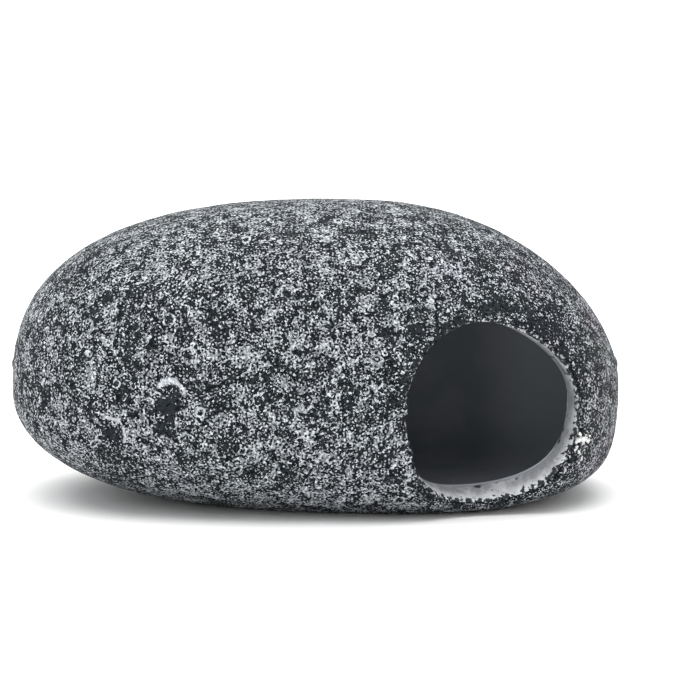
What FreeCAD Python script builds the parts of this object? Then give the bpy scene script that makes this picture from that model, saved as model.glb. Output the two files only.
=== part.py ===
import FreeCAD, Part
import math
import os
from FreeCAD import Vector

# Pebble-shaped fish cave cast in filled resin as two half shells.
# Millimetres, +Z up, origin on the floor under the middle of the pebble.
# The cave mouth faces the front right, between -Y and +X.

# The finished pebble, stone-effect coat included
LENGTH = 112.0
DEPTH = 78.0
HEIGHT = 55.0
WIDEST_LEVEL = 20.4
FOOT_DEPTH = 1.6
LEAN = 2.7

# How square the form is: 2 is a plain ellipse, more is squarer
PLAN_FULLNESS = 2.6
TOP_FULLNESS_LEFT = 2.67
TOP_FULLNESS_RIGHT = 1.97
BOTTOM_FULLNESS_LEFT = 2.28
BOTTOM_FULLNESS_RIGHT = 4.3

# Layers, from the outside in
STONE_COAT = 0.8
WALL = 3.2
INNER_COAT = 0.4

# Lapped joint between the two shells
PARTING_LEVEL = 25.0
LAP_HEIGHT = 3.0
GLUE_GAP = 0.3

# Cave mouth: radii every 45 degrees from its right side, anticlockwise
# seen from outside, at the mouth's middle and their growth per mm outwards
MOUTH_CENTRE = Vector(31.0, -29.0, 18.8)
MOUTH_BEARING = 28.0
MOUTH_DIP = 7.0
MOUTH_RADII = [16.1, 15.6, 16.4, 17.6, 17.5, 16.9, 15.5, 13.95]
MOUTH_FLARE = [0.0, 0.05, 0.05, 0.05, 0.03, 0.25, 0.55, 0.33]
MOUTH_INWARD = 10.0
MOUTH_OUTWARD = 9.0
COAT_SETBACK = 0.4

# Resolution of the freeform surface
BEARINGS = 72
LEVELS = 36


def blend(left, right, across):
    t = 0.5 + 0.5 * across
    return left + (right - left) * t * t * (3.0 - 2.0 * t)


def form_point(bearing, rise, inset):
    """Point of the pebble's form, set inwards by a layer depth."""
    across = math.cos(rise) * math.cos(bearing)
    along = math.cos(rise) * math.sin(bearing)
    up = math.sin(rise)
    if up > 0.0:
        half_height = HEIGHT - WIDEST_LEVEL - inset
        fullness = blend(TOP_FULLNESS_LEFT, TOP_FULLNESS_RIGHT, across)
    else:
        half_height = WIDEST_LEVEL + FOOT_DEPTH - inset
        fullness = blend(BOTTOM_FULLNESS_LEFT, BOTTOM_FULLNESS_RIGHT, across)
    plan = (abs(across) ** PLAN_FULLNESS + abs(along) ** PLAN_FULLNESS) ** (1.0 / PLAN_FULLNESS)
    reach = (plan ** fullness + abs(up) ** fullness) ** (-1.0 / fullness)
    lean = LEAN * max(0.0, reach * up) ** 2
    return Vector(
        (LENGTH / 2.0 - inset) * reach * across + lean,
        (DEPTH / 2.0 - inset) * reach * along,
        WIDEST_LEVEL + half_height * reach * up,
    )


def sharpened(rows, i, j):
    """Control point that makes the smooth surface pass through the form."""
    here = rows[i][j]
    around = rows[i][j - 1] + rows[i][(j + 1) % BEARINGS] - here * 2.0
    if i < 2 or i > len(rows) - 3:
        return here - around / 6.0
    updown = rows[i - 1][j] + rows[i + 1][j] - here * 2.0
    return here - around / 6.0 - updown / 6.0


def form_solid(inset):
    """Closed pebble form as one smooth surface with a pole above and below."""
    step = math.pi / LEVELS
    rises = [-math.pi / 2.0, -math.pi / 2.0 + step / 3.0]
    rises += [-math.pi / 2.0 + step * k for k in range(1, LEVELS)]
    rises += [math.pi / 2.0 - step / 3.0, math.pi / 2.0]
    turn = 2.0 * math.pi / BEARINGS
    rows = [[form_point(turn * j, rise, inset) for j in range(BEARINGS)] for rise in rises]
    poles = [[sharpened(rows, i, j) for j in range(BEARINGS)] for i in range(len(rows))]
    for end, neighbour in ((0, 1), (-1, -2)):
        tip = form_point(0.0, rises[end], inset)
        poles[end] = [tip] * BEARINGS
        poles[neighbour] = [Vector(p.x, p.y, tip.z) for p in poles[neighbour]]
    surface = Part.BSplineSurface()
    surface.buildFromPolesMultsKnots(
        [[poles[i][j] for i in range(len(rows))] for j in range(BEARINGS)],
        [1] * (BEARINGS + 1),
        [4] + [1] * (LEVELS - 1) + [4],
        [float(k) for k in range(BEARINGS + 1)],
        [float(k) for k in range(LEVELS + 1)],
        True,
        False,
        3,
        3,
    )
    solid = Part.Solid(Part.Shell([surface.toShape()]))
    if solid.Volume < 0.0:
        solid.reverse()
    return solid


def slab(bottom, top):
    """Block wider than the pebble between two levels."""
    return Part.makeBox(
        2.0 * LENGTH, 2.0 * DEPTH, top - bottom, Vector(-LENGTH, -DEPTH, bottom)
    )


def mouth_tool(margin):
    """Flared plug that forms the cave mouth, grown by a margin."""
    bearing = math.radians(MOUTH_BEARING)
    dip = math.radians(MOUTH_DIP)
    right = Vector(math.cos(bearing), math.sin(bearing), 0.0)
    out = Vector(
        math.sin(bearing) * math.cos(dip), -math.cos(bearing) * math.cos(dip), -math.sin(dip)
    )
    up = right.cross(out) * -1.0
    wires = []
    for travel in (-MOUTH_INWARD, MOUTH_OUTWARD):
        points = []
        for k, (radius, flare) in enumerate(zip(MOUTH_RADII, MOUTH_FLARE)):
            angle = math.radians(45.0 * k)
            reach = radius + flare * travel + margin
            offset = right * (reach * math.cos(angle)) + up * (reach * math.sin(angle))
            points.append(MOUTH_CENTRE + out * travel + offset)
        curve = Part.BSplineCurve()
        curve.interpolate(Points=points, PeriodicFlag=True)
        wires.append(Part.Wire([curve.toShape()]))
    return Part.makeLoft(wires, True, True)


def half_shells(outer, inner, mouth):
    """Lower and upper resin shells and the glue in the lapped joint."""
    wall = outer.cut(inner).common(slab(0.0, HEIGHT)).cut(mouth)
    middle = STONE_COAT + WALL / 2.0
    tongue_zone = form_solid(middle + GLUE_GAP / 2.0)
    lip_limit = form_solid(middle - GLUE_GAP / 2.0)
    lap_top = PARTING_LEVEL + LAP_HEIGHT
    lower_zone = slab(-1.0, PARTING_LEVEL).fuse(tongue_zone.common(slab(0.0, lap_top)))
    lower = wall.common(lower_zone)
    upper_zone = slab(PARTING_LEVEL + GLUE_GAP, HEIGHT).cut(
        lip_limit.common(slab(0.0, lap_top + GLUE_GAP))
    )
    upper = wall.common(upper_zone)
    glue = wall.common(slab(PARTING_LEVEL, lap_top + GLUE_GAP)).cut(lower).cut(upper)
    return lower, upper, glue


def stone_coats(finished, outer, mouth):
    """Stone-effect skins over the outside of the two shells."""
    skin = finished.cut(outer).common(slab(0.0, HEIGHT)).cut(mouth)
    lower = skin.common(slab(0.0, PARTING_LEVEL))
    upper = skin.common(slab(PARTING_LEVEL + GLUE_GAP, HEIGHT + 1.0))
    return lower, upper


def inner_coats(inner, hollow, mouth):
    """Dark sealer skins over the inside of the two shells."""
    skin = inner.cut(hollow).cut(mouth)
    lap_top = PARTING_LEVEL + LAP_HEIGHT
    lower = skin.common(slab(-1.0, lap_top))
    upper = skin.common(slab(lap_top + GLUE_GAP, HEIGHT))
    return lower, upper


def main():
    finished = form_solid(0.0)
    outer = form_solid(STONE_COAT)
    inner = form_solid(STONE_COAT + WALL)
    hollow = form_solid(STONE_COAT + WALL + INNER_COAT)
    mouth = mouth_tool(0.0)
    lower_shell, upper_shell, seam_adhesive = half_shells(outer, inner, mouth)
    lower_stone, upper_stone = stone_coats(finished, outer, mouth_tool(COAT_SETBACK))
    lower_inside, upper_inside = inner_coats(inner, hollow, mouth)
    parts = {
        "lower_shell": lower_shell,
        "upper_shell": upper_shell,
        "seam_adhesive": seam_adhesive,
        "lower_stone_coat": lower_stone,
        "upper_stone_coat": upper_stone,
        "lower_inner_coat": lower_inside,
        "upper_inner_coat": upper_inside,
    }
    os.makedirs("parts", exist_ok=True)
    for name, shape in parts.items():
        box = shape.BoundBox
        print(
            name,
            "solids", len(shape.Solids),
            "valid", shape.isValid(),
            "volume", round(shape.Volume, 1),
            "box", [round(v, 3) for v in (box.XMin, box.YMin, box.ZMin, box.XMax, box.YMax, box.ZMax)],
        )
        if len(shape.Solids) == 1:
            shape = shape.Solids[0]
        shape.exportStep("parts/" + name + ".step")


main()
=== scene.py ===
import math

import bpy
import numpy as np
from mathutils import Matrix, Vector, noise


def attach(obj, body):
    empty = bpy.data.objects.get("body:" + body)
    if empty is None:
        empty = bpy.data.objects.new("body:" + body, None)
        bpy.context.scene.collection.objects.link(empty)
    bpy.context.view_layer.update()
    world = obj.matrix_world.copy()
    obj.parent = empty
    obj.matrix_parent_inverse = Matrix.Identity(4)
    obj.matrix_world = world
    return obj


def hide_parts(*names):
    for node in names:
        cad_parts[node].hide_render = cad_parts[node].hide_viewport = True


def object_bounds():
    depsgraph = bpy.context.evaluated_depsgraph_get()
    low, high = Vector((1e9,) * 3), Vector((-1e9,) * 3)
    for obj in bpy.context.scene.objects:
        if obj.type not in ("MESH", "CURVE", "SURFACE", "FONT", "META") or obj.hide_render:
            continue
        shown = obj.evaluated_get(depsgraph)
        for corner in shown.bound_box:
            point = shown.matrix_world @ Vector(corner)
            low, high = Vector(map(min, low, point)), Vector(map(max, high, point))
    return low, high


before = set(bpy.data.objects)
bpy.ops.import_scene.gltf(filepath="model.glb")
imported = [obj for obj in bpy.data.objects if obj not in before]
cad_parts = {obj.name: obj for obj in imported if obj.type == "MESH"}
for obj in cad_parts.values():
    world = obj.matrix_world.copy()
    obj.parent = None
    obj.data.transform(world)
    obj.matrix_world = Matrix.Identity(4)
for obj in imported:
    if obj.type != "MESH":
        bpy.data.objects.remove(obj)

cadLow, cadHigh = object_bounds()
mm = 0.001

# The pebble's form, shared by every layer. Its overall size comes from the frame.
pebble = {
    "length": cadHigh.x - cadLow.x,
    "depth": cadHigh.y - cadLow.y,
    "height": cadHigh.z - cadLow.z,
    "widestLevel": 20.4 * mm,
    "footDepth": 1.6 * mm,  # how much of the round underside is ground away
    "lean": 2.7 * mm,
    "planFullness": 2.6,  # 2 is a plain ellipse, more is squarer
    "topFullness": (2.67, 1.97),  # left end, right end
    "bottomFullness": (2.28, 4.3),
    # hand-made unevenness: direction, spread, and the share by which the form swells there
    "swellings": [
        ((-1.0, -0.15, -0.05), 0.45, 0.007),
        ((1.0, -0.15, 0.0), 0.40, 0.012),
        ((-0.4, -0.43, -0.82), 0.33, -0.018),
        ((0.42, -0.52, -0.77), 0.30, 0.013),
        ((0.8, 0.0, 0.5), 0.35, 0.004),
        ((-0.8, 0.0, 0.45), 0.30, 0.004),
        ((0.68, -0.35, -0.64), 0.20, -0.008),
        ((0.3, 0.9, 0.2), 0.50, 0.006),
        ((-0.5, 0.8, -0.2), 0.40, -0.006),
    ],
}

# Layers from the outside in, and the lapped joint between the two castings
layers = {
    "stoneCoat": 0.8 * mm,
    "wall": 3.2 * mm,
    "innerCoat": 0.4 * mm,
    "partingLevel": 25.0 * mm,
    "lapHeight": 3.0 * mm,
    "glueGap": 0.3 * mm,
    "fineness": 6,  # the coats' backs share it, so they meet the shells exactly
    "sealerSeamGap": 0.01 * mm,
    "slabBase": 1.0 * mm,  # lower end of the tongue and of the rebate for it
    "aboveAll": 1.1 * (cadHigh.z - cadLow.z),
}
outerSkin = layers["stoneCoat"]
innerSkin = outerSkin + layers["wall"]
caveSkin = innerSkin + layers["innerCoat"]
tongueSkin = outerSkin + layers["wall"] / 2 + layers["glueGap"] / 2
lipSkin = tongueSkin - layers["glueGap"]
lapTop = layers["partingLevel"] + layers["lapHeight"]


def feed(tree, socket, value):
    if isinstance(value, bpy.types.NodeSocket):
        tree.links.new(value, socket)
    else:
        socket.default_value = value


def addNode(tree, kind, inputs=None, **settings):
    node = tree.nodes.new(kind)
    for key, value in settings.items():
        setattr(node, key, value)
    for key, value in (inputs or {}).items():
        feed(tree, node.inputs[key], value)
    return node


def calc(tree, operation, *values):
    node = addNode(tree, "ShaderNodeMath", dict(enumerate(values)), operation=operation)
    return node.outputs[0]


def vectorCalc(tree, operation, *values):
    node = addNode(tree, "ShaderNodeVectorMath", dict(enumerate(values)), operation=operation)
    return node.outputs["Value" if operation in ("LENGTH", "DISTANCE", "DOT_PRODUCT") else "Vector"]


def scaled(tree, vector, factor):
    node = addNode(tree, "ShaderNodeVectorMath", {0: vector, "Scale": factor}, operation="SCALE")
    return node.outputs["Vector"]


def ramp(tree, value, fromLow, fromHigh, toLow=0.0, toHigh=1.0, smooth=True):
    node = addNode(
        tree, "ShaderNodeMapRange",
        {0: value, 1: fromLow, 2: fromHigh, 3: toLow, 4: toHigh},
        interpolation_type="SMOOTHSTEP" if smooth else "LINEAR",
    )
    return node.outputs[0]


def noiseAt(tree, vector, scale, detail=2.0, roughness=0.5, distortion=0.0):
    node = addNode(
        tree, "ShaderNodeTexNoise",
        {"Vector": vector, "Scale": scale, "Detail": detail, "Roughness": roughness,
         "Distortion": distortion},
    )
    return node.outputs[0]


def mixed(tree, factor, first, second, kind="FLOAT", blend="MIX"):
    node = addNode(tree, "ShaderNodeMix", data_type=kind)
    if kind == "RGBA":
        node.blend_type = blend
    start, end = {"FLOAT": (2, 0), "RGBA": (6, 2)}[kind]
    feed(tree, node.inputs[0], factor)
    feed(tree, node.inputs[start], first)
    feed(tree, node.inputs[start + 1], second)
    return node.outputs[end]


def newTree(name, kind, inputs, outputs):
    tree = bpy.data.node_groups.new(name, kind)
    for label, socketType, value in inputs:
        socket = tree.interface.new_socket(name=label, in_out="INPUT", socket_type=socketType)
        if value is not None:
            socket.default_value = value
    for label, socketType in outputs:
        tree.interface.new_socket(name=label, in_out="OUTPUT", socket_type=socketType)
    source = tree.nodes.new("NodeGroupInput")
    result = tree.nodes.new("NodeGroupOutput")
    return tree, source.outputs, result.inputs


def makePebbleForm():
    tree, given, result = newTree(
        "pebbleForm", "GeometryNodeTree",
        [
            ("Inset", "NodeSocketFloat", 0.0),
            ("Fineness", "NodeSocketInt", 5),
            ("Length", "NodeSocketFloat", pebble["length"]),
            ("Depth", "NodeSocketFloat", pebble["depth"]),
            ("Height", "NodeSocketFloat", pebble["height"]),
            ("Widest Level", "NodeSocketFloat", pebble["widestLevel"]),
            ("Foot Depth", "NodeSocketFloat", pebble["footDepth"]),
            ("Lean", "NodeSocketFloat", pebble["lean"]),
            ("Unevenness", "NodeSocketFloat", 1.0),
        ],
        [("Mesh", "NodeSocketGeometry")],
    )
    ball = addNode(
        tree, "GeometryNodeMeshIcoSphere", {"Radius": 1.0, "Subdivisions": given["Fineness"]}
    )
    direction = tree.nodes.new("GeometryNodeInputPosition").outputs[0]
    parts = addNode(tree, "ShaderNodeSeparateXYZ", {0: direction}).outputs
    across, along, up = parts[0], parts[1], parts[2]
    isTop = calc(tree, "GREATER_THAN", up, 0.0)
    toRight = ramp(tree, across, -1.0, 1.0)
    topFullness = mixed(tree, toRight, *pebble["topFullness"])
    bottomFullness = mixed(tree, toRight, *pebble["bottomFullness"])
    fullness = mixed(tree, isTop, bottomFullness, topFullness)
    planFullness = pebble["planFullness"]
    planSum = calc(
        tree, "ADD",
        calc(tree, "POWER", calc(tree, "ABSOLUTE", across), planFullness),
        calc(tree, "POWER", calc(tree, "ABSOLUTE", along), planFullness),
    )
    plan = calc(tree, "POWER", planSum, 1.0 / planFullness)
    wholeSum = calc(
        tree, "ADD",
        calc(tree, "POWER", plan, fullness),
        calc(tree, "POWER", calc(tree, "ABSOLUTE", up), fullness),
    )
    reach = calc(tree, "POWER", wholeSum, calc(tree, "DIVIDE", -1.0, fullness))
    swelling = 0.0
    for aim, spread, share in pebble["swellings"]:
        away = vectorCalc(tree, "DISTANCE", direction, Vector(aim).normalized())
        away = calc(tree, "DIVIDE", away, spread)
        fall = calc(tree, "EXPONENT", calc(tree, "MULTIPLY", calc(tree, "MULTIPLY", away, away), -1.0))
        swelling = calc(tree, "MULTIPLY_ADD", fall, share, swelling)
    swelling = calc(tree, "MULTIPLY_ADD", swelling, given["Unevenness"], 1.0)
    uneven = calc(tree, "MULTIPLY", reach, swelling)
    topHeight = calc(tree, "SUBTRACT", given["Height"], given["Widest Level"])
    bottomHeight = calc(tree, "ADD", given["Widest Level"], given["Foot Depth"])
    halfHeight = calc(
        tree, "SUBTRACT", mixed(tree, isTop, bottomHeight, topHeight), given["Inset"]
    )
    rise = calc(tree, "MAXIMUM", calc(tree, "MULTIPLY", uneven, up), 0.0)
    lean = calc(tree, "MULTIPLY", given["Lean"], calc(tree, "MULTIPLY", rise, rise))
    halfLength = calc(
        tree, "SUBTRACT", calc(tree, "MULTIPLY", given["Length"], 0.5), given["Inset"]
    )
    halfDepth = calc(
        tree, "SUBTRACT", calc(tree, "MULTIPLY", given["Depth"], 0.5), given["Inset"]
    )
    x = calc(
        tree, "ADD", calc(tree, "MULTIPLY", halfLength, calc(tree, "MULTIPLY", uneven, across)),
        lean,
    )
    y = calc(tree, "MULTIPLY", halfDepth, calc(tree, "MULTIPLY", uneven, along))
    z = calc(
        tree, "ADD", calc(tree, "MULTIPLY", halfHeight, calc(tree, "MULTIPLY", uneven, up)),
        given["Widest Level"],
    )
    place = addNode(tree, "ShaderNodeCombineXYZ", {0: x, 1: y, 2: z}).outputs[0]
    shaped = addNode(
        tree, "GeometryNodeSetPosition", {"Geometry": ball.outputs[0], "Position": place}
    )
    tree.links.new(shaped.outputs[0], result[0])
    return tree


pebbleForm = makePebbleForm()
print("form group ready")


def formExcess(points, inset):
    # the same form as a formula: below zero inside the layer, above zero outside
    x, y, z = points[:, 0], points[:, 1], points[:, 2] - pebble["widestLevel"]
    topHeight = pebble["height"] - pebble["widestLevel"] - inset
    bottomHeight = pebble["widestLevel"] + pebble["footDepth"] - inset
    rise = np.maximum(z / topHeight, 0.0)
    across = (x - pebble["lean"] * rise ** 2) / (pebble["length"] / 2 - inset)
    along = y / (pebble["depth"] / 2 - inset)
    up = z / np.where(z > 0.0, topHeight, bottomHeight)
    size = np.sqrt(across ** 2 + along ** 2 + up ** 2)
    t = 0.5 + 0.5 * across / size
    t = t * t * (3.0 - 2.0 * t)
    topFullness = pebble["topFullness"][0] * (1 - t) + pebble["topFullness"][1] * t
    bottomFullness = pebble["bottomFullness"][0] * (1 - t) + pebble["bottomFullness"][1] * t
    fullness = np.where(z > 0.0, topFullness, bottomFullness)
    p = pebble["planFullness"]
    plan = (np.abs(across) ** p + np.abs(along) ** p) ** (1.0 / p)
    swelling = np.ones(len(points))
    for aim, spread, share in pebble["swellings"]:
        aim = np.array(Vector(aim).normalized())
        direction = np.stack([across, along, up], axis=1) / size[:, None]
        swelling += share * np.exp(-((direction - aim) ** 2).sum(axis=1) / spread ** 2)
    return (plan ** fullness + np.abs(up) ** fullness) ** (1.0 / fullness) - swelling


# The flared cave mouth, cut by a plug through each layer
mouth = {
    "centre": Vector((31.0, -29.0, 18.8)) * mm,
    "bearing": 28.0,  # degrees from straight ahead towards the right
    "dip": 7.0,
    "radii": [16.1, 15.6, 16.4, 17.6, 17.5, 16.9, 15.5, 13.95],  # every 45 degrees, from the right
    "flare": [0.0, 0.05, 0.05, 0.05, 0.03, 0.25, 0.55, 0.33],  # growth per length outwards
    "inward": 11.0 * mm,
    "outward": 9.0 * mm,
    "columns": 320,
    "rowsInWall": 36,
    "rowsBeyond": 7,
}
mouthBearing = math.radians(mouth["bearing"])
mouthDip = math.radians(mouth["dip"])
mouthRight = Vector((math.cos(mouthBearing), math.sin(mouthBearing), 0.0))
mouthOut = Vector((
    math.sin(mouthBearing) * math.cos(mouthDip),
    -math.cos(mouthBearing) * math.cos(mouthDip),
    -math.sin(mouthDip),
))
mouthUp = mouthOut.cross(mouthRight)


def roundTrip(values, angles):
    # smooth closed curve through evenly spaced values, as a sum of waves
    count = len(values)
    waves = np.fft.rfft(values) / count
    total = np.full(len(angles), waves[0].real)
    for k in range(1, len(waves)):
        weight = 1.0 if 2 * k == count else 2.0
        total += weight * (waves[k].real * np.cos(k * angles) - waves[k].imag * np.sin(k * angles))
    return total


def mouthPoints(angles, travel, extra):
    radius = roundTrip(mouth["radii"], angles) * mm + roundTrip(mouth["flare"], angles) * travel
    radius = radius + extra
    side = np.outer(radius * np.cos(angles), mouthRight)
    side = side + np.outer(radius * np.sin(angles), mouthUp)
    return np.array(mouth["centre"]) + np.outer(travel, mouthOut) + side


def travelTo(inset, angles):
    # how far out along the plug each of its sides meets a layer
    inside = np.full(len(angles), -mouth["inward"])
    outside = np.full(len(angles), mouth["outward"])
    for step in range(40):
        middle = (inside + outside) / 2
        beyond = formExcess(mouthPoints(angles, middle, 0.0), inset) > 0.0
        outside = np.where(beyond, middle, outside)
        inside = np.where(beyond, inside, middle)
    return (inside + outside) / 2


def roundedEdge(distance, radius):
    share = np.clip(1.0 - distance / radius, 0.0, 1.0)
    return radius * (1.0 - np.sqrt(1.0 - share ** 2))


def makeMouthPlug(settings):
    # a closed tube whose rows crowd where it passes the wall
    columns, rowsInWall, beyond = mouth["columns"], mouth["rowsInWall"], mouth["rowsBeyond"]
    angles = np.arange(columns) * 2.0 * math.pi / columns
    outer = travelTo(outerSkin, angles)
    inner = travelTo(innerSkin, angles)
    rows = []
    for k in range(beyond):
        rows.append(-mouth["inward"] + (inner + mouth["inward"]) * k / beyond)
    for k in range(rowsInWall + 1):
        share = 0.5 - 0.5 * math.cos(math.pi * k / rowsInWall)
        rows.append(inner + (outer - inner) * share)
    for k in range(1, beyond + 1):
        rows.append(outer + (mouth["outward"] - outer) * k / beyond)
    chips = np.zeros(columns)
    for aim, spread, size in settings["chips"]:
        turn = (np.degrees(angles) - aim + 180.0) % 360.0 - 180.0
        chips += size * np.exp(-(turn / spread) ** 2)
    vertices = []
    for travel in rows:
        extra = settings["margin"] + chips
        extra = extra + roundedEdge(np.maximum(outer - travel, 0.0), settings["outerEdge"])
        extra = extra + roundedEdge(np.maximum(travel - inner, 0.0), settings["innerEdge"])
        for point, angle in zip(mouthPoints(angles, travel, extra), angles):
            spot = Vector(point)
            away = mouthRight * math.cos(angle) + mouthUp * math.sin(angle)
            soft = noise.noise(spot * settings["rippleScale"]) * settings["ripple"]
            torn = noise.fractal(spot * settings["tearScale"], 0.6, 2.0, 3) * settings["tear"]
            vertices.append(spot + away * (soft + torn))
    faces = []
    for r in range(len(rows) - 1):
        for c in range(columns):
            n = (c + 1) % columns
            low, high = r * columns, (r + 1) * columns
            faces.append((low + c, low + n, high + n, high + c))
    back, front = len(vertices), len(vertices) + 1
    vertices.append(mouth["centre"] - mouthOut * mouth["inward"])
    vertices.append(mouth["centre"] + mouthOut * mouth["outward"])
    last = (len(rows) - 1) * columns
    for c in range(columns):
        n = (c + 1) % columns
        faces.append((back, n, c))
        faces.append((front, last + c, last + n))
    mesh = bpy.data.meshes.new(settings["name"])
    mesh.from_pydata(vertices, [], faces)
    mesh.update()
    plug = bpy.data.objects.new(settings["name"], mesh)
    bpy.context.scene.collection.objects.link(plug)
    return plug


# Margin grows a plug, the edges round its lips, ripple is soft and tear is ragged.
# A chip is its bearing and spread round the mouth in degrees, and how much it widens it.
castingChips = [(180.0, 45.0, -0.40 * mm), (90.0, 40.0, -0.10 * mm), (213.0, 15.0, 0.65 * mm)]
shellPlug = makeMouthPlug({
    "name": "shellPlug",
    "margin": -0.20 * mm,
    "outerEdge": 0.45 * mm,
    "innerEdge": 0.5 * mm,
    "ripple": 0.12 * mm,
    "rippleScale": 160.0,
    "tear": 0.0,
    "tearScale": 1.0,
    "chips": castingChips,
})
coatPlug = makeMouthPlug({
    "name": "coatPlug",
    "margin": 0.12 * mm,
    "outerEdge": 0.2 * mm,
    "innerEdge": 0.01 * mm,
    "ripple": 0.45 * mm,
    "rippleScale": 260.0,
    "tear": 0.52 * mm,
    "tearScale": 1000.0,
    "chips": [
        (180.0, 45.0, -0.45 * mm), (100.0, 40.0, -0.22 * mm), (62.0, 7.0, 0.7 * mm),
        (37.0, 11.0, 0.55 * mm), (222.0, 17.0, 0.90 * mm), (330.0, 28.0, 0.5 * mm),
        (305.0, 8.0, 0.3 * mm),
    ],
})
sealerPlug = makeMouthPlug({
    "name": "sealerPlug",
    "margin": -0.10 * mm,
    "outerEdge": 0.01 * mm,
    "innerEdge": 0.5 * mm,
    "ripple": 0.15 * mm,
    "rippleScale": 250.0,
    "tear": 0.08 * mm,
    "tearScale": 500.0,
    "chips": castingChips,
})
print("mouth plugs ready")


def formNode(tree, inset, fineness):
    node = addNode(tree, "GeometryNodeGroup", node_tree=pebbleForm)
    feed(tree, node.inputs["Inset"], inset)
    feed(tree, node.inputs["Fineness"], fineness)
    return node.outputs[0]


def slabNode(tree, low, high):
    # block wider than the pebble between two levels
    size = addNode(
        tree, "ShaderNodeCombineXYZ",
        {0: 2 * pebble["length"], 1: 2 * pebble["depth"], 2: calc(tree, "SUBTRACT", high, low)},
    )
    block = addNode(tree, "GeometryNodeMeshCube", {"Size": size.outputs[0]})
    middle = calc(tree, "MULTIPLY", calc(tree, "ADD", low, high), 0.5)
    place = addNode(tree, "ShaderNodeCombineXYZ", {2: middle})
    lifted = addNode(
        tree, "GeometryNodeTransform",
        {"Geometry": block.outputs[0], "Translation": place.outputs[0]},
    )
    return lifted.outputs[0]


def boolean(tree, operation, first, *others):
    node = addNode(tree, "GeometryNodeMeshBoolean", operation=operation, solver="MANIFOLD")
    tree.links.new(first, node.inputs[0 if operation == "DIFFERENCE" else 1])
    for other in others:
        tree.links.new(other, node.inputs[1])
    return node.outputs[0]


def objectNode(tree, socket):
    return addNode(tree, "GeometryNodeObjectInfo", {"Object": socket}).outputs["Geometry"]


def moved(tree, geometry, offset):
    node = addNode(tree, "GeometryNodeSetPosition", {"Geometry": geometry, "Offset": offset})
    return node.outputs[0]


def gapTo(tree, geometry):
    node = addNode(tree, "GeometryNodeProximity", target_element="FACES")
    tree.links.new(geometry, node.inputs[0])
    return node.outputs["Distance"]


def kept(tree, geometry, name, value):
    # stores a value on the points, for the material to read
    node = addNode(
        tree, "GeometryNodeStoreNamedAttribute",
        {"Geometry": geometry, "Name": name}, data_type="FLOAT", domain="POINT",
    )
    feed(tree, node.inputs["Value"], value)
    return node.outputs[0]


def finishTree(tree, geometry, material, result):
    # smooth faces, crisp at corners sharper than the angle in radians
    real = addNode(tree, "GeometryNodeRealizeInstances", {0: geometry}).outputs[0]
    smooth = addNode(
        tree, "GeometryNodeSetShadeSmooth", {"Geometry": real, "Shade Smooth": True}, domain="FACE"
    ).outputs[0]
    turn = tree.nodes.new("GeometryNodeInputMeshEdgeAngle").outputs[0]
    crisp = addNode(
        tree, "GeometryNodeSetShadeSmooth",
        {"Geometry": smooth, "Selection": calc(tree, "GREATER_THAN", turn, 0.75),
         "Shade Smooth": False},
        domain="EDGE",
    ).outputs[0]
    dressed = addNode(tree, "GeometryNodeSetMaterial", {"Geometry": crisp, "Material": material})
    tree.links.new(dressed.outputs[0], result[0])


def buildPiece(name, tree, settings):
    # runs a tree on an empty mesh and keeps the plain mesh that it gives
    holder = bpy.data.objects.new(name + "Holder", bpy.data.meshes.new(name + "Start"))
    bpy.context.scene.collection.objects.link(holder)
    modifier = holder.modifiers.new("build", "NODES")
    modifier.node_group = tree
    for item in tree.interface.items_tree:
        if item.item_type == "SOCKET" and item.in_out == "INPUT" and item.name in settings:
            modifier[item.identifier] = settings[item.name]
    depsgraph = bpy.context.evaluated_depsgraph_get()
    mesh = bpy.data.meshes.new_from_object(holder.evaluated_get(depsgraph), depsgraph=depsgraph)
    mesh.name = name
    holder.modifiers.remove(modifier)
    bpy.data.objects.remove(holder)
    piece = bpy.data.objects.new(name, mesh)
    bpy.context.scene.collection.objects.link(piece)
    triangles = sum(len(face.vertices) - 2 for face in mesh.polygons)
    print(name, "has", triangles, "triangles")
    return piece


# Popped bubbles in the coat: place, radius and rim width in mm,
# the side (across, up) on which the rim stands, and how little of it stands
bubbles = [
    ((-24.6, -37.2, 23.2), 2.3, 0.50, (0.25, 0.97), 0.10),
    ((-35.5, -33.5, 15.7), 2.9, 0.36, (0.75, 0.66), 0.25),
    ((-19.4, -38.0, 20.0), 0.75, 0.22, (0.0, 1.0), -1.3),
    ((-24.9, -34.7, 35.8), 0.95, 0.24, (0.6, -0.8), -0.7),
    ((-22.3, -34.5, 37.4), 0.95, 0.20, (1.0, 0.1), 0.1),
    ((-21.4, -37.1, 29.8), 1.4, 0.14, (0.3, 0.95), -0.4),
    ((-34.3, -34.3, 24.5), 0.8, 0.13, (0.0, 1.0), -1.3),
    ((-2.8, -37.9, 31.1), 0.75, 0.26, (-0.2, 0.98), 0.3),
    ((-9.3, -38.8, 22.2), 1.0, 0.13, (-0.7, 0.7), -0.2),
    ((2.0, -36.0, 36.5), 0.9, 0.14, (0.9, -0.4), 0.0),
]
# Bare dark patches: place and radius in mm
barePatches = [
    ((-24.9, -37.2, 20.6), 2.1),
    ((-25.8, -36.6, 17.0), 1.5),
    ((-35.7, -33.3, 15.5), 1.1),
    ((15.5, -36.5, 27.5), 1.2),
    ((12.5, -36.5, 33.5), 1.0),
]


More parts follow.
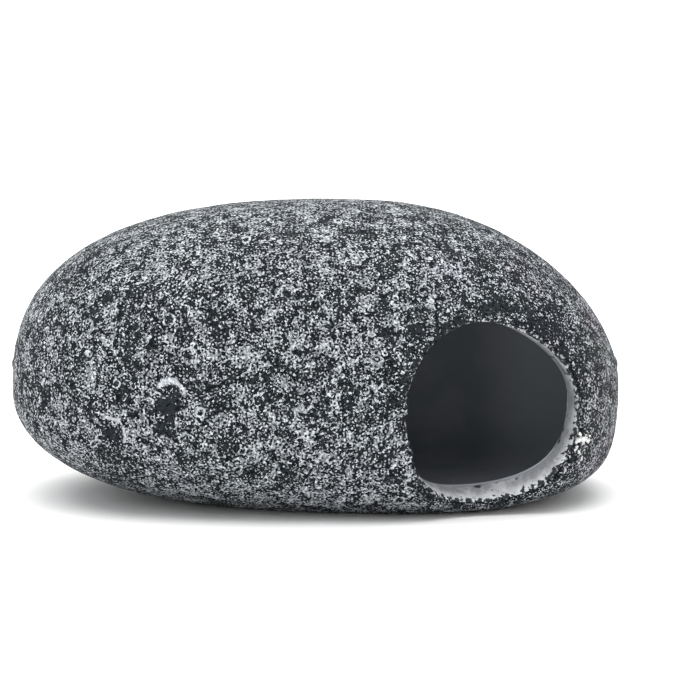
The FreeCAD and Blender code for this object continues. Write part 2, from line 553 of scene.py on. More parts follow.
def makeBubbleRing(kind):
    # how strongly a point lies on a standing rim, and how deep inside the bubble
    tree, given, result = newTree(
        "bubbleRing" + kind[:6], kind,
        [
            ("Vector", "NodeSocketVector", None),
            ("Centre", "NodeSocketVector", None),
            ("Radius", "NodeSocketFloat", 0.001),
            ("Rim Width", "NodeSocketFloat", 0.2 * mm),
            ("Side", "NodeSocketVector", None),
            ("Opening", "NodeSocketFloat", 0.0),
        ],
        [("Rim", "NodeSocketFloat"), ("Hollow", "NodeSocketFloat")],
    )
    wobble = addNode(
        tree, "ShaderNodeTexNoise", {"Vector": given["Vector"], "Scale": 700.0, "Detail": 1.0}
    ).outputs["Color"]
    wobble = scaled(tree, vectorCalc(tree, "SUBTRACT", wobble, (0.5, 0.5, 0.5)), 0.9 * mm)
    away = vectorCalc(tree, "SUBTRACT", given["Vector"], given["Centre"])
    away = vectorCalc(tree, "ADD", away, wobble)
    distance = vectorCalc(tree, "LENGTH", away)
    offRim = calc(tree, "ABSOLUTE", calc(tree, "SUBTRACT", distance, given["Radius"]))
    band = ramp(tree, calc(tree, "DIVIDE", offRim, given["Rim Width"]), 0.5, 1.2, 1.0, 0.0)
    facing = vectorCalc(tree, "DOT_PRODUCT", vectorCalc(tree, "NORMALIZE", away), given["Side"])
    facing = calc(tree, "SUBTRACT", facing, given["Opening"])
    standing = ramp(tree, facing, -0.1, 0.25)
    inside = ramp(tree, calc(tree, "DIVIDE", distance, given["Radius"]), 0.3, 0.9, 0.45, 0.0)
    tree.links.new(calc(tree, "MULTIPLY", band, standing), result["Rim"])
    tree.links.new(inside, result["Hollow"])
    return tree


def bubbleFields(tree, groupNode, ringTree, place):
    # gathers every bubble and bare patch: rim strength and hollow strength
    rim, hollow = 0.0, 0.0
    for centre, radius, width, side, opening in bubbles:
        ring = addNode(tree, groupNode, node_tree=ringTree)
        tree.links.new(place, ring.inputs["Vector"])
        ring.inputs["Centre"].default_value = Vector(centre) * mm
        ring.inputs["Radius"].default_value = radius * mm
        ring.inputs["Rim Width"].default_value = width * mm
        ring.inputs["Side"].default_value = (side[0], 0.0, side[1])
        ring.inputs["Opening"].default_value = opening
        rim = calc(tree, "MAXIMUM", rim, ring.outputs["Rim"])
        hollow = calc(tree, "MAXIMUM", hollow, ring.outputs["Hollow"])
    torn = noiseAt(tree, place, 420.0, 2.0, 0.6)
    for centre, radius in barePatches:
        away = vectorCalc(tree, "DISTANCE", place, Vector(centre) * mm)
        away = calc(tree, "DIVIDE", away, radius * mm)
        away = calc(tree, "MULTIPLY_ADD", calc(tree, "SUBTRACT", torn, 0.5), 3.2, away)
        hollow = calc(tree, "MAXIMUM", hollow, ramp(tree, away, 0.6, 1.3, 1.0, 0.0))
    # smaller ones all over, where balls in space meet the surface
    wobble = addNode(
        tree, "ShaderNodeTexNoise", {"Vector": place, "Scale": 600.0, "Detail": 1.0}
    ).outputs["Color"]
    wobbled = vectorCalc(tree, "ADD", place, scaled(tree, wobble, 1.3 * mm))
    cells = addNode(
        tree, "ShaderNodeTexVoronoi", {"Vector": wobbled, "Scale": 185.0, "Randomness": 1.0}
    )
    chance = addNode(tree, "ShaderNodeSeparateXYZ", {0: cells.outputs["Color"]}).outputs
    popped = calc(tree, "GREATER_THAN", chance[0], 0.89)
    ball = ramp(tree, chance[1], 0.0, 1.0, 0.08, 0.22, smooth=False)
    offBall = calc(tree, "SUBTRACT", cells.outputs["Distance"], ball)
    band = ramp(tree, calc(tree, "ABSOLUTE", offBall), 0.015, 0.05, 1.0, 0.0)
    inBall = ramp(tree, offBall, -0.12, -0.01, 0.5, 0.0)
    rim = calc(tree, "MAXIMUM", rim, calc(tree, "MULTIPLY", band, popped))
    hollow = calc(tree, "MAXIMUM", hollow, calc(tree, "MULTIPLY", inBall, popped))
    return rim, hollow


def newMaterial(name, roughness, specular):
    material = bpy.data.materials.new(name)
    material.use_nodes = True
    tree = material.node_tree
    shader = tree.nodes["Principled BSDF"]
    shader.inputs["Roughness"].default_value = roughness
    shader.inputs["Specular IOR Level"].default_value = specular
    place = tree.nodes.new("ShaderNodeTexCoord").outputs["Object"]
    return material, tree, shader, place


def addBump(tree, shader, height, distance):
    bump = addNode(tree, "ShaderNodeBump", {"Height": height, "Distance": distance})
    tree.links.new(bump.outputs[0], shader.inputs["Normal"])


stoneFinish = {
    "base": (0.003, 0.0045, 0.0055, 1.0),  # dark primer
    "paleBase": (0.022, 0.0265, 0.0300, 1.0),
    "fleck": (0.70, 0.74, 0.77, 1.0),
    "film": (0.182, 0.196, 0.209, 1.0),
    "mauve": (1.0, 0.90, 1.0, 1.0),
    "greyRightEnd": (0.060, 0.055, 0.052, 1.0),  # warm grey mixed into the right end, lowering its contrast
    "roughness": 0.72,
    "specular": 0.06,
    "bump": 0.10 * mm,
    # how much the cover of pale film changes, by place
    "overMouth": -0.22,
    "inBubble": -0.55,
    "atLip": -0.13,
    # painted shade: less pale film towards the right, darkening the right top as if lit from the upper
    # left
    "shadeTowardsRight": -0.045,
    "atRightEnd": 0.06,
}


def makeFilmFlecks():
    # pale mineral film broken into flecks, blotches and small bubble walls
    tree, given, result = newTree(
        "filmFlecks", "ShaderNodeTree",
        [
            ("Vector", "NodeSocketVector", None),
            ("Fleck Scale", "NodeSocketFloat", 2700.0),
            ("Fleck Weight", "NodeSocketFloat", 1.6),
            ("Pore Scale", "NodeSocketFloat", 1400.0),
            ("Pore Weight", "NodeSocketFloat", 0.55),
            ("Blotch Scale", "NodeSocketFloat", 330.0),
            ("Blotch Weight", "NodeSocketFloat", 1.1),
            ("Drift Scale", "NodeSocketFloat", 105.0),
            ("Drift Weight", "NodeSocketFloat", 0.15),
            ("Cover", "NodeSocketFloat", -0.10),
            ("Softness", "NodeSocketFloat", 0.055),
            ("Thick From", "NodeSocketFloat", 0.10),
            ("Thick To", "NodeSocketFloat", 0.40),
            ("Bias", "NodeSocketFloat", 0.0),
        ],
        [
            ("Film", "NodeSocketFloat"), ("Thick", "NodeSocketFloat"),
            ("Bare", "NodeSocketFloat"), ("Height", "NodeSocketFloat"),
        ],
    )
    place = given["Vector"]
    fine = calc(tree, "SUBTRACT", noiseAt(tree, place, given["Fleck Scale"], 1.0, 0.6, 0.5), 0.5)
    fine = calc(tree, "MULTIPLY", fine, given["Fleck Weight"])
    cells = addNode(
        tree, "ShaderNodeTexVoronoi", {"Vector": place, "Scale": given["Pore Scale"]}
    )
    chance = addNode(tree, "ShaderNodeSeparateXYZ", {0: cells.outputs["Color"]}).outputs
    isPore = ramp(tree, chance[0], 0.45, 0.55, 1.0, -1.0)
    pore = ramp(tree, cells.outputs["Distance"], 0.10, 0.45, -1.0, 0.35)
    pore = calc(tree, "MULTIPLY", calc(tree, "MULTIPLY", pore, isPore), given["Pore Weight"])
    blotch = calc(tree, "SUBTRACT", noiseAt(tree, place, given["Blotch Scale"], 2.0, 0.5, 0.4), 0.5)
    drift = calc(tree, "SUBTRACT", noiseAt(tree, place, given["Drift Scale"], 1.0), 0.5)
    total = calc(tree, "ADD", calc(tree, "ADD", fine, pore), given["Cover"])
    total = calc(tree, "MULTIPLY_ADD", blotch, given["Blotch Weight"], total)
    total = calc(tree, "MULTIPLY_ADD", drift, given["Drift Weight"], total)
    total = calc(tree, "ADD", total, given["Bias"])
    low = calc(tree, "MULTIPLY", given["Softness"], -1.0)
    tree.links.new(ramp(tree, total, low, given["Softness"]), result["Film"])
    tree.links.new(ramp(tree, total, given["Thick From"], given["Thick To"]), result["Thick"])
    tree.links.new(ramp(tree, total, -0.20, -0.60), result["Bare"])
    tree.links.new(ramp(tree, total, -0.35, 0.30), result["Height"])
    return tree


filmFlecks = makeFilmFlecks()
shaderBubbleRing = makeBubbleRing("ShaderNodeTree")


def mouthRadiusAt(tree, place):
    # distance from the mouth's axis, and how far up and how far out the point lies
    away = vectorCalc(tree, "SUBTRACT", place, mouth["centre"])
    side = vectorCalc(tree, "DOT_PRODUCT", away, mouthRight)
    rise = vectorCalc(tree, "DOT_PRODUCT", away, mouthUp)
    radius = calc(tree, "SQRT", calc(tree, "ADD", calc(tree, "MULTIPLY", side, side),
                                     calc(tree, "MULTIPLY", rise, rise)))
    return radius, rise, vectorCalc(tree, "DOT_PRODUCT", away, mouthOut)


def makeStoneFinish():
    material, tree, shader, place = newMaterial(
        "stoneEffectCoat", stoneFinish["roughness"], stoneFinish["specular"]
    )
    parts = addNode(tree, "ShaderNodeSeparateXYZ", {0: place}).outputs
    rim, hollow = bubbleFields(tree, "ShaderNodeGroup", shaderBubbleRing, place)
    # sparser film over the mouth and in a popped bubble
    radius, rise, out = mouthRadiusAt(tree, place)
    nearMouth = calc(
        tree, "MULTIPLY", ramp(tree, radius, 17.0 * mm, 31.0 * mm, 1.0, 0.0),
        ramp(tree, rise, 0.0, 14.0 * mm),
    )
    nearMouth = calc(tree, "MULTIPLY", nearMouth, ramp(tree, out, -4.0 * mm, 0.0))
    bias = calc(tree, "MULTIPLY", nearMouth, stoneFinish["overMouth"])
    bias = calc(tree, "MULTIPLY_ADD", hollow, stoneFinish["inBubble"], bias)
    lip = addNode(tree, "ShaderNodeAttribute", attribute_name="lip").outputs["Fac"]
    lip = calc(tree, "MULTIPLY", lip, ramp(tree, rise, -6.0 * mm, 2.0 * mm, 1.0, 0.2))
    bias = calc(tree, "MULTIPLY_ADD", lip, stoneFinish["atLip"], bias)
    # painted shade: the pale film thins towards the right, as if the light came from the upper left
    shadeRightward = ramp(tree, parts[0], 5.0 * mm, 35.0 * mm, 0.0, stoneFinish["shadeTowardsRight"])
    rightEnd = ramp(tree, parts[0], 44.0 * mm, 54.0 * mm, 0.0, stoneFinish["atRightEnd"])
    bias = calc(tree, "ADD", calc(tree, "ADD", bias, shadeRightward), rightEnd)
    flecks = addNode(tree, "ShaderNodeGroup", node_tree=filmFlecks)
    flecks.name = "flecks"
    tree.links.new(place, flecks.inputs["Vector"])
    tree.links.new(bias, flecks.inputs["Bias"])
    broken = ramp(tree, noiseAt(tree, place, 1500.0, 1.0), 0.36, 0.46)
    film = calc(tree, "MAXIMUM", flecks.outputs["Film"], calc(tree, "MULTIPLY", rim, broken))
    baseTone = ramp(tree, noiseAt(tree, place, 1500.0, 1.0), 0.42, 0.62, -0.3, 0.3)
    baseTone = calc(tree, "ADD", flecks.outputs["Bare"], baseTone)
    base = mixed(tree, baseTone, stoneFinish["base"], stoneFinish["paleBase"], "RGBA")
    glint = ramp(tree, noiseAt(tree, place, 2300.0, 1.0), 0.42, 0.66)
    plain = calc(tree, "MULTIPLY_ADD", flecks.outputs["Thick"], -0.55, 1.0)
    glint = calc(tree, "MAXIMUM", calc(tree, "MULTIPLY", glint, plain), calc(tree, "MULTIPLY", rim, 0.4))
    filmColour = mixed(tree, glint, stoneFinish["film"], stoneFinish["fleck"], "RGBA")
    colour = mixed(tree, film, base, filmColour, "RGBA")
    tint = ramp(tree, noiseAt(tree, place, 95.0, 1.0), 0.40, 0.70)
    tint = calc(tree, "MULTIPLY", tint, ramp(tree, parts[0], 15.0 * mm, 50.0 * mm, 0.15, 1.0))
    colour = mixed(tree, tint, colour, stoneFinish["mauve"], "RGBA", blend="MULTIPLY")
    greyRightEnd = ramp(tree, parts[0], 44.0 * mm, 55.0 * mm, 0.0, 0.25)
    colour = mixed(tree, greyRightEnd, colour, stoneFinish["greyRightEnd"], "RGBA")
    tree.links.new(colour, shader.inputs["Base Color"])
    height = calc(tree, "MAXIMUM", flecks.outputs["Height"], calc(tree, "MULTIPLY", rim, 1.2))
    addBump(tree, shader, height, stoneFinish["bump"])
    return material


resinFinish = {
    "pale": (0.53, 0.545, 0.56, 1.0),
    # duller grey: used by the random mottle and by the painted shade on the mouth's band
    "dullAndShaded": (0.20, 0.203, 0.215, 1.0),
    "overspray": (0.014, 0.018, 0.020, 1.0),
    "roughness": 0.55,
    "specular": 0.3,
}


def makeResinFinish():
    # depth is the distance below the outer face of the casting, kept by the shape tree
    material, tree, shader, place = newMaterial(
        "greyCastResin", resinFinish["roughness"], resinFinish["specular"]
    )
    depth = addNode(tree, "ShaderNodeAttribute", attribute_name="depth").outputs["Fac"]
    mottle = ramp(tree, noiseAt(tree, place, 300.0, 5.0, 0.7), 0.35, 0.65, -0.3, 0.3)
    # painted light and shade: the upward-facing bottom of the mouth's band stays pale, its sides and top
    # go duller
    rise = mouthRadiusAt(tree, place)[1]
    mottle = calc(tree, "ADD", mottle, ramp(tree, rise, -12.0 * mm, -3.0 * mm, 0.0, 0.18))
    parts = addNode(tree, "ShaderNodeSeparateXYZ", {0: place}).outputs
    # painted shade: duller on the right side of the mouth's band, which faces away from the light
    mottle = calc(tree, "ADD", mottle, ramp(tree, parts[0], 36.0 * mm, 44.0 * mm, 0.0, 0.10))
    # painted shade: duller deeper below the outer face, into the mouth's shadow
    inward = ramp(tree, depth, 0.2 * mm, 3.0 * mm, 0.0, 0.9)
    colour = mixed(
        tree, calc(tree, "ADD", mottle, inward), resinFinish["pale"], resinFinish["dullAndShaded"], "RGBA"
    )
    spray = noiseAt(tree, place, 1300.0, 2.0, 0.6)
    reach = ramp(tree, depth, 0.0, 1.9 * mm, 0.44, 0.72)
    sprayed = ramp(tree, calc(tree, "SUBTRACT", spray, reach), 0.0, 0.025)
    stain = noiseAt(tree, place, 420.0, 2.0, 0.6)
    stainReach = ramp(tree, depth, 2.3 * mm, 3.2 * mm, 0.80, 0.50)
    stained = ramp(tree, calc(tree, "SUBTRACT", stain, stainReach), 0.0, 0.12)
    cover = calc(tree, "MAXIMUM", sprayed, stained)
    colour = mixed(tree, cover, colour, resinFinish["overspray"], "RGBA")
    tree.links.new(colour, shader.inputs["Base Color"])
    pits = addNode(tree, "ShaderNodeTexVoronoi", {"Vector": place, "Scale": 520.0})
    height = ramp(tree, pits.outputs["Distance"], 0.05, 0.22)
    height = calc(tree, "MULTIPLY_ADD", noiseAt(tree, place, 900.0, 3.0), 0.8, height)
    addBump(tree, shader, height, 0.02 * mm)
    return material


sealerFinish = {
    "dark": (0.22, 0.245, 0.27, 1.0),
    "pale": (0.27, 0.275, 0.31, 1.0),
    "paleRightEnd": (0.40, 0.43, 0.46, 1.0),  # paler towards the right end of the cave
    "roughness": 0.8,
    "specular": 0.2,
}


def makeSealerFinish():
    material, tree, shader, place = newMaterial(
        "darkInnerSealer", sealerFinish["roughness"], sealerFinish["specular"]
    )
    mottle = noiseAt(tree, place, 90.0, 3.0)
    colour = mixed(
        tree, ramp(tree, mottle, 0.35, 0.65), sealerFinish["dark"], sealerFinish["pale"], "RGBA"
    )
    parts = addNode(tree, "ShaderNodeSeparateXYZ", {0: place}).outputs
    paleRightEnd = ramp(tree, parts[0], 30.0 * mm, 46.0 * mm)
    colour = mixed(tree, paleRightEnd, colour, sealerFinish["paleRightEnd"], "RGBA")
    tree.links.new(colour, shader.inputs["Base Color"])
    addBump(tree, shader, noiseAt(tree, place, 700.0, 2.0), 0.02 * mm)
    return material


glueFinish = {
    "dark": (0.02, 0.022, 0.024, 1.0),
    "pale": (0.06, 0.06, 0.06, 1.0),
    "roughness": 0.5,
    "specular": 0.4,
}


def makeGlueFinish():
    material, tree, shader, place = newMaterial(
        "darkSeamAdhesive", glueFinish["roughness"], glueFinish["specular"]
    )
    mottle = noiseAt(tree, place, 800.0, 2.0)
    colour = mixed(tree, mottle, glueFinish["dark"], glueFinish["pale"], "RGBA")
    tree.links.new(colour, shader.inputs["Base Color"])
    addBump(tree, shader, mottle, 0.02 * mm)
    return material


splashFinish = {
    "white": (0.80, 0.81, 0.80, 1.0),
    "grey": (0.42, 0.43, 0.43, 1.0),
    "roughness": 0.45,
    "specular": 0.4,
}


def makeSplashFinish():
    material, tree, shader, place = newMaterial(
        "whiteSplash", splashFinish["roughness"], splashFinish["specular"]
    )
    mottle = noiseAt(tree, place, 1600.0, 3.0, 0.6)
    colour = mixed(
        tree, ramp(tree, mottle, 0.38, 0.62), splashFinish["grey"], splashFinish["white"], "RGBA"
    )
    tree.links.new(colour, shader.inputs["Base Color"])
    addBump(tree, shader, mottle, 0.05 * mm)
    return material


stoneMaterial = makeStoneFinish()
splashMaterial = makeSplashFinish()
resinMaterial = makeResinFinish()
sealerMaterial = makeSealerFinish()
glueMaterial = makeGlueFinish()
print("materials ready")


stoneCoat = {
    "fineness": 7,
    "grainHeight": 0.09 * mm,
    "grainScale": 620.0,
    "swellHeight": 0.16 * mm,
    "swellScale": 170.0,
    "rimHeight": 0.10 * mm,
    "hollowDepth": 0.20 * mm,
    "lipDrop": 0.55 * mm,
    "lipWidth": 1.3 * mm,
    "flashHeight": 0.30 * mm,  # nubs left by the mould at the two ends of the seam
    "seamGap": 0.016 * mm,
    "deepest": 0.68 * mm,  # keeps the relief short of the coat's back
}
seamLevel = layers["partingLevel"] + layers["glueGap"] / 2


def makeStoneCoatTree():
    tree, given, result = newTree(
        "stoneCoatTree", "GeometryNodeTree",
        [
            ("Low Level", "NodeSocketFloat", 0.0),
            ("High Level", "NodeSocketFloat", 0.1),
            ("Coat Depth", "NodeSocketFloat", layers["stoneCoat"]),
            ("Grain Height", "NodeSocketFloat", stoneCoat["grainHeight"]),
            ("Swell Height", "NodeSocketFloat", stoneCoat["swellHeight"]),
            ("Rim Height", "NodeSocketFloat", stoneCoat["rimHeight"]),
            ("Hollow Depth", "NodeSocketFloat", -stoneCoat["hollowDepth"]),
            ("Lip Drop", "NodeSocketFloat", -stoneCoat["lipDrop"]),
            ("Flash Height", "NodeSocketFloat", stoneCoat["flashHeight"]),
            ("Fineness", "NodeSocketInt", stoneCoat["fineness"]),
            ("Mouth Plug", "NodeSocketObject", None),
            ("Material", "NodeSocketMaterial", None),
        ],
        [("Mesh", "NodeSocketGeometry")],
    )
    skin = formNode(tree, 0.0, given["Fineness"])
    plug = objectNode(tree, given["Mouth Plug"])
    place = tree.nodes.new("GeometryNodeInputPosition").outputs[0]
    outward = tree.nodes.new("GeometryNodeInputNormal").outputs[0]
    grain = noiseAt(tree, place, stoneCoat["grainScale"], 1.0)
    grain = ramp(tree, grain, 0.25, 0.75, -0.5, 0.5, smooth=False)
    swell = noiseAt(tree, place, stoneCoat["swellScale"], 2.0)
    swell = ramp(tree, swell, 0.2, 0.8, -0.5, 0.5, smooth=False)
    ringTree = makeBubbleRing("GeometryNodeTree")
    rim, hollow = bubbleFields(tree, "GeometryNodeGroup", ringTree, place)
    share = ramp(tree, gapTo(tree, plug), 0.0, stoneCoat["lipWidth"], 1.0, 0.0, smooth=False)
    lip = calc(tree, "SUBTRACT", 1.0, calc(tree, "SQRT", calc(
        tree, "SUBTRACT", 1.0, calc(tree, "MULTIPLY", share, share))))
    parts = addNode(tree, "ShaderNodeSeparateXYZ", {0: place}).outputs
    offSeam = calc(tree, "ABSOLUTE", calc(tree, "SUBTRACT", parts[2], seamLevel))
    flash = calc(
        tree, "MULTIPLY", ramp(tree, offSeam, 0.2 * mm, 1.2 * mm, 1.0, 0.0),
        ramp(tree, calc(tree, "ABSOLUTE", parts[0]), 53.6 * mm, 55.2 * mm),
    )
    relief = calc(tree, "MULTIPLY", grain, given["Grain Height"])
    relief = calc(tree, "MULTIPLY_ADD", swell, given["Swell Height"], relief)
    relief = calc(tree, "MULTIPLY_ADD", rim, given["Rim Height"], relief)
    relief = calc(tree, "MULTIPLY_ADD", hollow, given["Hollow Depth"], relief)
    relief = calc(tree, "MULTIPLY_ADD", flash, given["Flash Height"], relief)
    relief = calc(tree, "MULTIPLY_ADD", lip, given["Lip Drop"], relief)
    relief = calc(tree, "MAXIMUM", relief, -stoneCoat["deepest"])
    raised = moved(tree, skin, scaled(tree, outward, relief))
    under = formNode(tree, given["Coat Depth"], layers["fineness"])
    coat = boolean(tree, "DIFFERENCE", raised, under, plug)
    coat = boolean(tree, "INTERSECT", coat, slabNode(tree, given["Low Level"], given["High Level"]))
    nearLip = ramp(tree, gapTo(tree, plug), 0.3 * mm, 1.6 * mm, 1.0, 0.0)
    coat = kept(tree, coat, "lip", nearLip)
    finishTree(tree, coat, given["Material"], result)
    return tree


stoneCoatTree = makeStoneCoatTree()
upperStoneCoat = buildPiece("upperStoneCoat", stoneCoatTree, {
    "Low Level": seamLevel + stoneCoat["seamGap"] / 2,
    "High Level": layers["aboveAll"],
    "Mouth Plug": coatPlug,
    "Material": stoneMaterial,
})
lowerStoneCoat = buildPiece("lowerStoneCoat", stoneCoatTree, {
    "Low Level": 0.0,
    "High Level": seamLevel - stoneCoat["seamGap"] / 2,
    "Mouth Plug": coatPlug,
    "Material": stoneMaterial,
})


def makeLayerTree(name, recipe):
    tree, given, result = newTree(
        name, "GeometryNodeTree",
        [
            ("Outer Inset", "NodeSocketFloat", outerSkin),
            ("Inner Inset", "NodeSocketFloat", innerSkin),
            ("Parting Level", "NodeSocketFloat", layers["partingLevel"]),
            ("Lap Top", "NodeSocketFloat", lapTop),
            ("Glue Gap", "NodeSocketFloat", layers["glueGap"]),
            ("Fineness", "NodeSocketInt", layers["fineness"]),
            ("Mouth Plug", "NodeSocketObject", None),
            ("Material", "NodeSocketMaterial", None),
        ],
        [("Mesh", "NodeSocketGeometry")],
    )
    geometry = recipe(tree, given)
    face = formNode(tree, outerSkin, given["Fineness"])
    geometry = kept(tree, geometry, "depth", gapTo(tree, face))
    finishTree(tree, geometry, given["Material"], result)
    return tree


def lowerShellRecipe(tree, given):
    body = boolean(
        tree, "INTERSECT", formNode(tree, given["Outer Inset"], given["Fineness"]),
        slabNode(tree, 0.0, given["Parting Level"]),
    )
    tongue = boolean(
        tree, "INTERSECT", formNode(tree, tongueSkin, given["Fineness"]),
        slabNode(tree, layers["slabBase"], given["Lap Top"]),
    )
    solid = boolean(tree, "UNION", body, tongue)
    hollow = formNode(tree, given["Inner Inset"], given["Fineness"])
    return boolean(tree, "DIFFERENCE", solid, hollow, objectNode(tree, given["Mouth Plug"]))


def upperShellRecipe(tree, given):
    seamTop = calc(tree, "ADD", given["Parting Level"], given["Glue Gap"])
    lipTop = calc(tree, "ADD", given["Lap Top"], given["Glue Gap"])
    body = boolean(
        tree, "INTERSECT", formNode(tree, given["Outer Inset"], given["Fineness"]),
        slabNode(tree, seamTop, layers["aboveAll"]),
    )
    rebate = boolean(
        tree, "INTERSECT", formNode(tree, lipSkin, given["Fineness"]),
        slabNode(tree, layers["slabBase"], lipTop),
    )
    hollow = formNode(tree, given["Inner Inset"], given["Fineness"])
    return boolean(tree, "DIFFERENCE", body, rebate, hollow, objectNode(tree, given["Mouth Plug"]))


def adhesiveRecipe(tree, given):
    seamTop = calc(tree, "ADD", given["Parting Level"], given["Glue Gap"])
    lipTop = calc(tree, "ADD", given["Lap Top"], given["Glue Gap"])
    ledge = boolean(
        tree, "INTERSECT", formNode(tree, given["Outer Inset"], given["Fineness"]),
        slabNode(tree, given["Parting Level"], seamTop),
    )
    rise = boolean(
        tree, "INTERSECT", formNode(tree, lipSkin, given["Fineness"]),
        slabNode(tree, given["Parting Level"], lipTop),
    )
    solid = boolean(tree, "UNION", ledge, rise)
    tongue = boolean(
        tree, "INTERSECT", formNode(tree, tongueSkin, given["Fineness"]),
        slabNode(tree, layers["slabBase"], given["Lap Top"]),
    )
    hollow = formNode(tree, given["Inner Inset"], given["Fineness"])
    return boolean(tree, "DIFFERENCE", solid, tongue, hollow, objectNode(tree, given["Mouth Plug"]))


def sealerRecipe(low, high):
    def recipe(tree, given):
        skin = boolean(
            tree, "INTERSECT", formNode(tree, given["Outer Inset"], given["Fineness"]),
            slabNode(tree, low, high),
        )
        hollow = formNode(tree, given["Inner Inset"], given["Fineness"])
        return boolean(tree, "DIFFERENCE", skin, hollow, objectNode(tree, given["Mouth Plug"]))
    return recipe


sealerSeam = lapTop + layers["glueGap"] / 2
lowerShell = buildPiece(
    "lowerShell", makeLayerTree("lowerShellTree", lowerShellRecipe),
    {"Mouth Plug": shellPlug, "Material": resinMaterial},
)
upperShell = buildPiece(
    "upperShell", makeLayerTree("upperShellTree", upperShellRecipe),
    {"Mouth Plug": shellPlug, "Material": resinMaterial},
)
seamAdhesive = buildPiece(
    "seamAdhesive", makeLayerTree("adhesiveTree", adhesiveRecipe),
    {"Mouth Plug": shellPlug, "Material": glueMaterial},
)
innerCoat = {
    "Outer Inset": innerSkin,
    "Inner Inset": caveSkin,
    "Mouth Plug": sealerPlug,
    "Material": sealerMaterial,
}
upperSealerSeam = sealerSeam + layers["sealerSeamGap"]
lowerInnerCoat = buildPiece(
    "lowerInnerCoat", makeLayerTree("lowerSealerTree", sealerRecipe(-1.0 * mm, sealerSeam)),
    innerCoat,
)
upperInnerCoat = buildPiece(
    "upperInnerCoat",
    makeLayerTree("upperSealerTree", sealerRecipe(upperSealerSeam, pebble["height"])),
    innerCoat,
)


# White splash on the coat beside the rim
splash = {
    # across, up and radius in mm of the drops that ran together
    "drops": [
        (47.5, 13.5, 0.44), (48.1, 13.4, 0.50), (48.7, 13.5, 0.42), (49.1, 13.2, 0.34),
        (47.6, 14.2, 0.26), (47.5, 14.6, 0.20), (48.7, 14.1, 0.26), (46.9, 13.2, 0.28),
        (49.2, 12.7, 0.24), (48.1, 12.8, 0.30), (47.0, 12.1, 0.24), (46.7, 11.6, 0.20),
        (47.3, 11.2, 0.22), (47.7, 10.7, 0.22), (47.9, 10.1, 0.26), (47.8, 9.6, 0.24),
        (47.5, 9.2, 0.20), (49.5, 13.7, 0.20),
    ],
    "thickness": 0.16 * mm,
    "bite": 0.70 * mm,  # how far it may follow the coat down at the lip
    "edgeWander": 0.34 * mm,
    "edgeScale": 2100.0,
    "dropFineness": 4,
}


def frontAt(x, z):
    # the point of the form's front face with this x and z
    front, back = -pebble["depth"], 0.0
    for step in range(40):
        middle = (front + back) / 2
        if formExcess(np.array([[x, middle, z]]), 0.0)[0] > 0.0:
            front = middle
        else:
            back = middle
    return Vector((x, front, z))


def makeSplashTree():
    tree, given, result = newTree(
        "splashTree", "GeometryNodeTree",
        [
            ("Thickness", "NodeSocketFloat", -splash["thickness"]),
            ("Edge Wander", "NodeSocketFloat", splash["edgeWander"]),
            ("Fineness", "NodeSocketInt", layers["fineness"]),
            ("Coat", "NodeSocketObject", None),
            ("Material", "NodeSocketMaterial", None),
        ],
        [("Mesh", "NodeSocketGeometry")],
    )
    drops = []
    for x, z, radius in splash["drops"]:
        drop = addNode(
            tree, "GeometryNodeMeshIcoSphere",
            {"Radius": radius * mm, "Subdivisions": splash["dropFineness"]},
        ).outputs[0]
        drop = addNode(
            tree, "GeometryNodeTransform",
            {"Geometry": drop, "Translation": frontAt(x * mm, z * mm)},
        ).outputs[0]
        drops.append(drop)
    together = boolean(tree, "UNION", drops[0], *drops[1:])
    place = tree.nodes.new("GeometryNodeInputPosition").outputs[0]
    outward = tree.nodes.new("GeometryNodeInputNormal").outputs[0]
    wander = ramp(tree, noiseAt(tree, place, splash["edgeScale"], 1.0), 0.3, 0.7, -0.6, 0.6)
    wander = calc(tree, "MULTIPLY", wander, given["Edge Wander"])
    together = moved(tree, together, scaled(tree, outward, wander))
    skin = formNode(tree, given["Thickness"], given["Fineness"])
    film = boolean(tree, "INTERSECT", together, skin)
    below = formNode(tree, splash["bite"], given["Fineness"])
    film = boolean(tree, "DIFFERENCE", film, below, objectNode(tree, given["Coat"]))
    finishTree(tree, film, given["Material"], result)
    return tree


rimSplash = buildPiece(
    "rimSplash", makeSplashTree(), {"Coat": lowerStoneCoat, "Material": splashMaterial}
)
for plug in (shellPlug, coatPlug, sealerPlug):
    bpy.data.objects.remove(plug)


standsFor = [
    (lowerShell, "lower_shell", "cast_resin"),
    (upperShell, "upper_shell", "cast_resin"),
    (seamAdhesive, "seam_adhesive", "adhesive"),
    (lowerStoneCoat, "lower_stone_coat", "stone_coat"),
    (upperStoneCoat, "upper_stone_coat", "stone_coat"),
    (lowerInnerCoat, "lower_inner_coat", "inner_coat"),
    (upperInnerCoat, "upper_inner_coat", "inner_coat"),
]
for piece, node, slotName in standsFor:
    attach(piece, "root")
    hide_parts(node)
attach(rimSplash, "root")
print("pieces placed")


studio = {
    "floorSize": 60.0,
    "floorColour": (0.94, 0.94, 0.94, 1.0),
    "worldColour": (1.0, 1.0, 1.0, 1.0),
    "worldStrength": 1.06,
    "lampFrom": (-0.08, 0.06, 1.0),
    "lampSpread": 75.0,  # degrees across the soft overhead light
    "lampStrength": 2.9,
}


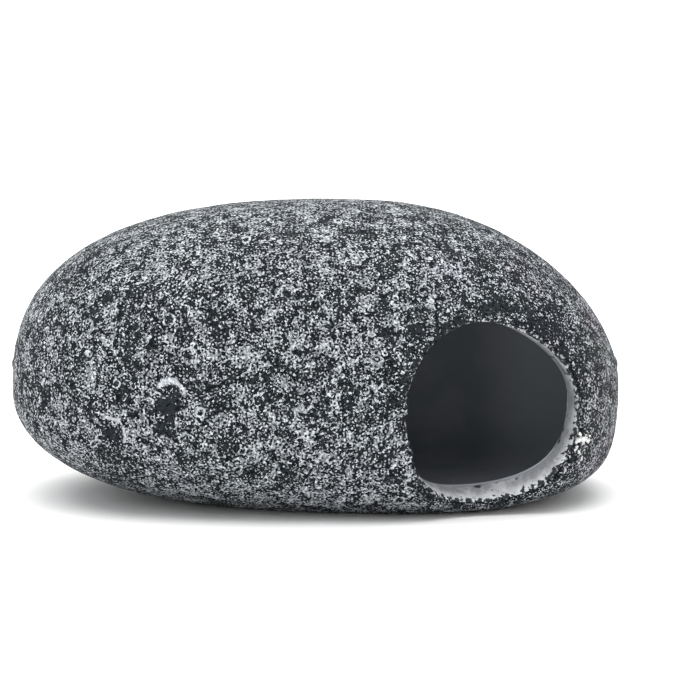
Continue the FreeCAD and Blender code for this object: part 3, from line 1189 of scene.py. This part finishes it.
def makeFloor():
    mesh = bpy.data.meshes.new("floor")
    half = studio["floorSize"] / 2
    mesh.from_pydata(
        [(-half, -half, 0.0), (half, -half, 0.0), (half, half, 0.0), (-half, half, 0.0)],
        [], [(0, 1, 2, 3)],
    )
    floor = bpy.data.objects.new("floor", mesh)
    bpy.context.scene.collection.objects.link(floor)
    material = bpy.data.materials.new("paleFloor")
    material.use_nodes = True
    shader = material.node_tree.nodes["Principled BSDF"]
    shader.inputs["Base Color"].default_value = studio["floorColour"]
    shader.inputs["Roughness"].default_value = 0.9
    shader.inputs["Specular IOR Level"].default_value = 0.1
    mesh.materials.append(material)


def makeLight():
    # wide and soft, from above
    lamp = bpy.data.lights.new("overheadSoftbox", "SUN")
    lamp.angle = math.radians(studio["lampSpread"])
    lamp.energy = studio["lampStrength"]
    light = bpy.data.objects.new("overheadSoftbox", lamp)
    light.location = Vector(studio["lampFrom"])
    light.rotation_euler = light.location.to_track_quat("Z", "Y").to_euler()
    bpy.context.scene.collection.objects.link(light)


def makeWorld():
    world = bpy.data.worlds.new("studioWorld")
    world.use_nodes = True
    background = world.node_tree.nodes["Background"]
    background.inputs["Color"].default_value = studio["worldColour"]
    background.inputs["Strength"].default_value = studio["worldStrength"]
    bpy.context.scene.world = world


camera = {
    "elevation": 6.5,  # degrees above the horizon
    "distance": 0.450,
    "lens": 122.7,
    "aim": (6.5 * mm, 0.0, 26.6 * mm),
}


def makeCamera():
    data = bpy.data.cameras.new("studioCamera")
    data.lens = camera["lens"]
    data.sensor_width = 36.0
    data.clip_start = 0.01
    data.clip_end = 100.0
    rise = math.radians(camera["elevation"])
    back = Vector((0.0, -math.cos(rise), math.sin(rise)))
    view = bpy.data.objects.new("studioCamera", data)
    view.location = Vector(camera["aim"]) + back * camera["distance"]
    view.rotation_euler = (-back).to_track_quat("-Z", "Y").to_euler()
    bpy.context.scene.collection.objects.link(view)
    bpy.context.scene.camera = view


makeFloor()
makeLight()
makeWorld()
makeCamera()
bpy.context.scene.view_settings.view_transform = "Standard"
bpy.context.scene.view_settings.look = "None"
print("studio ready")
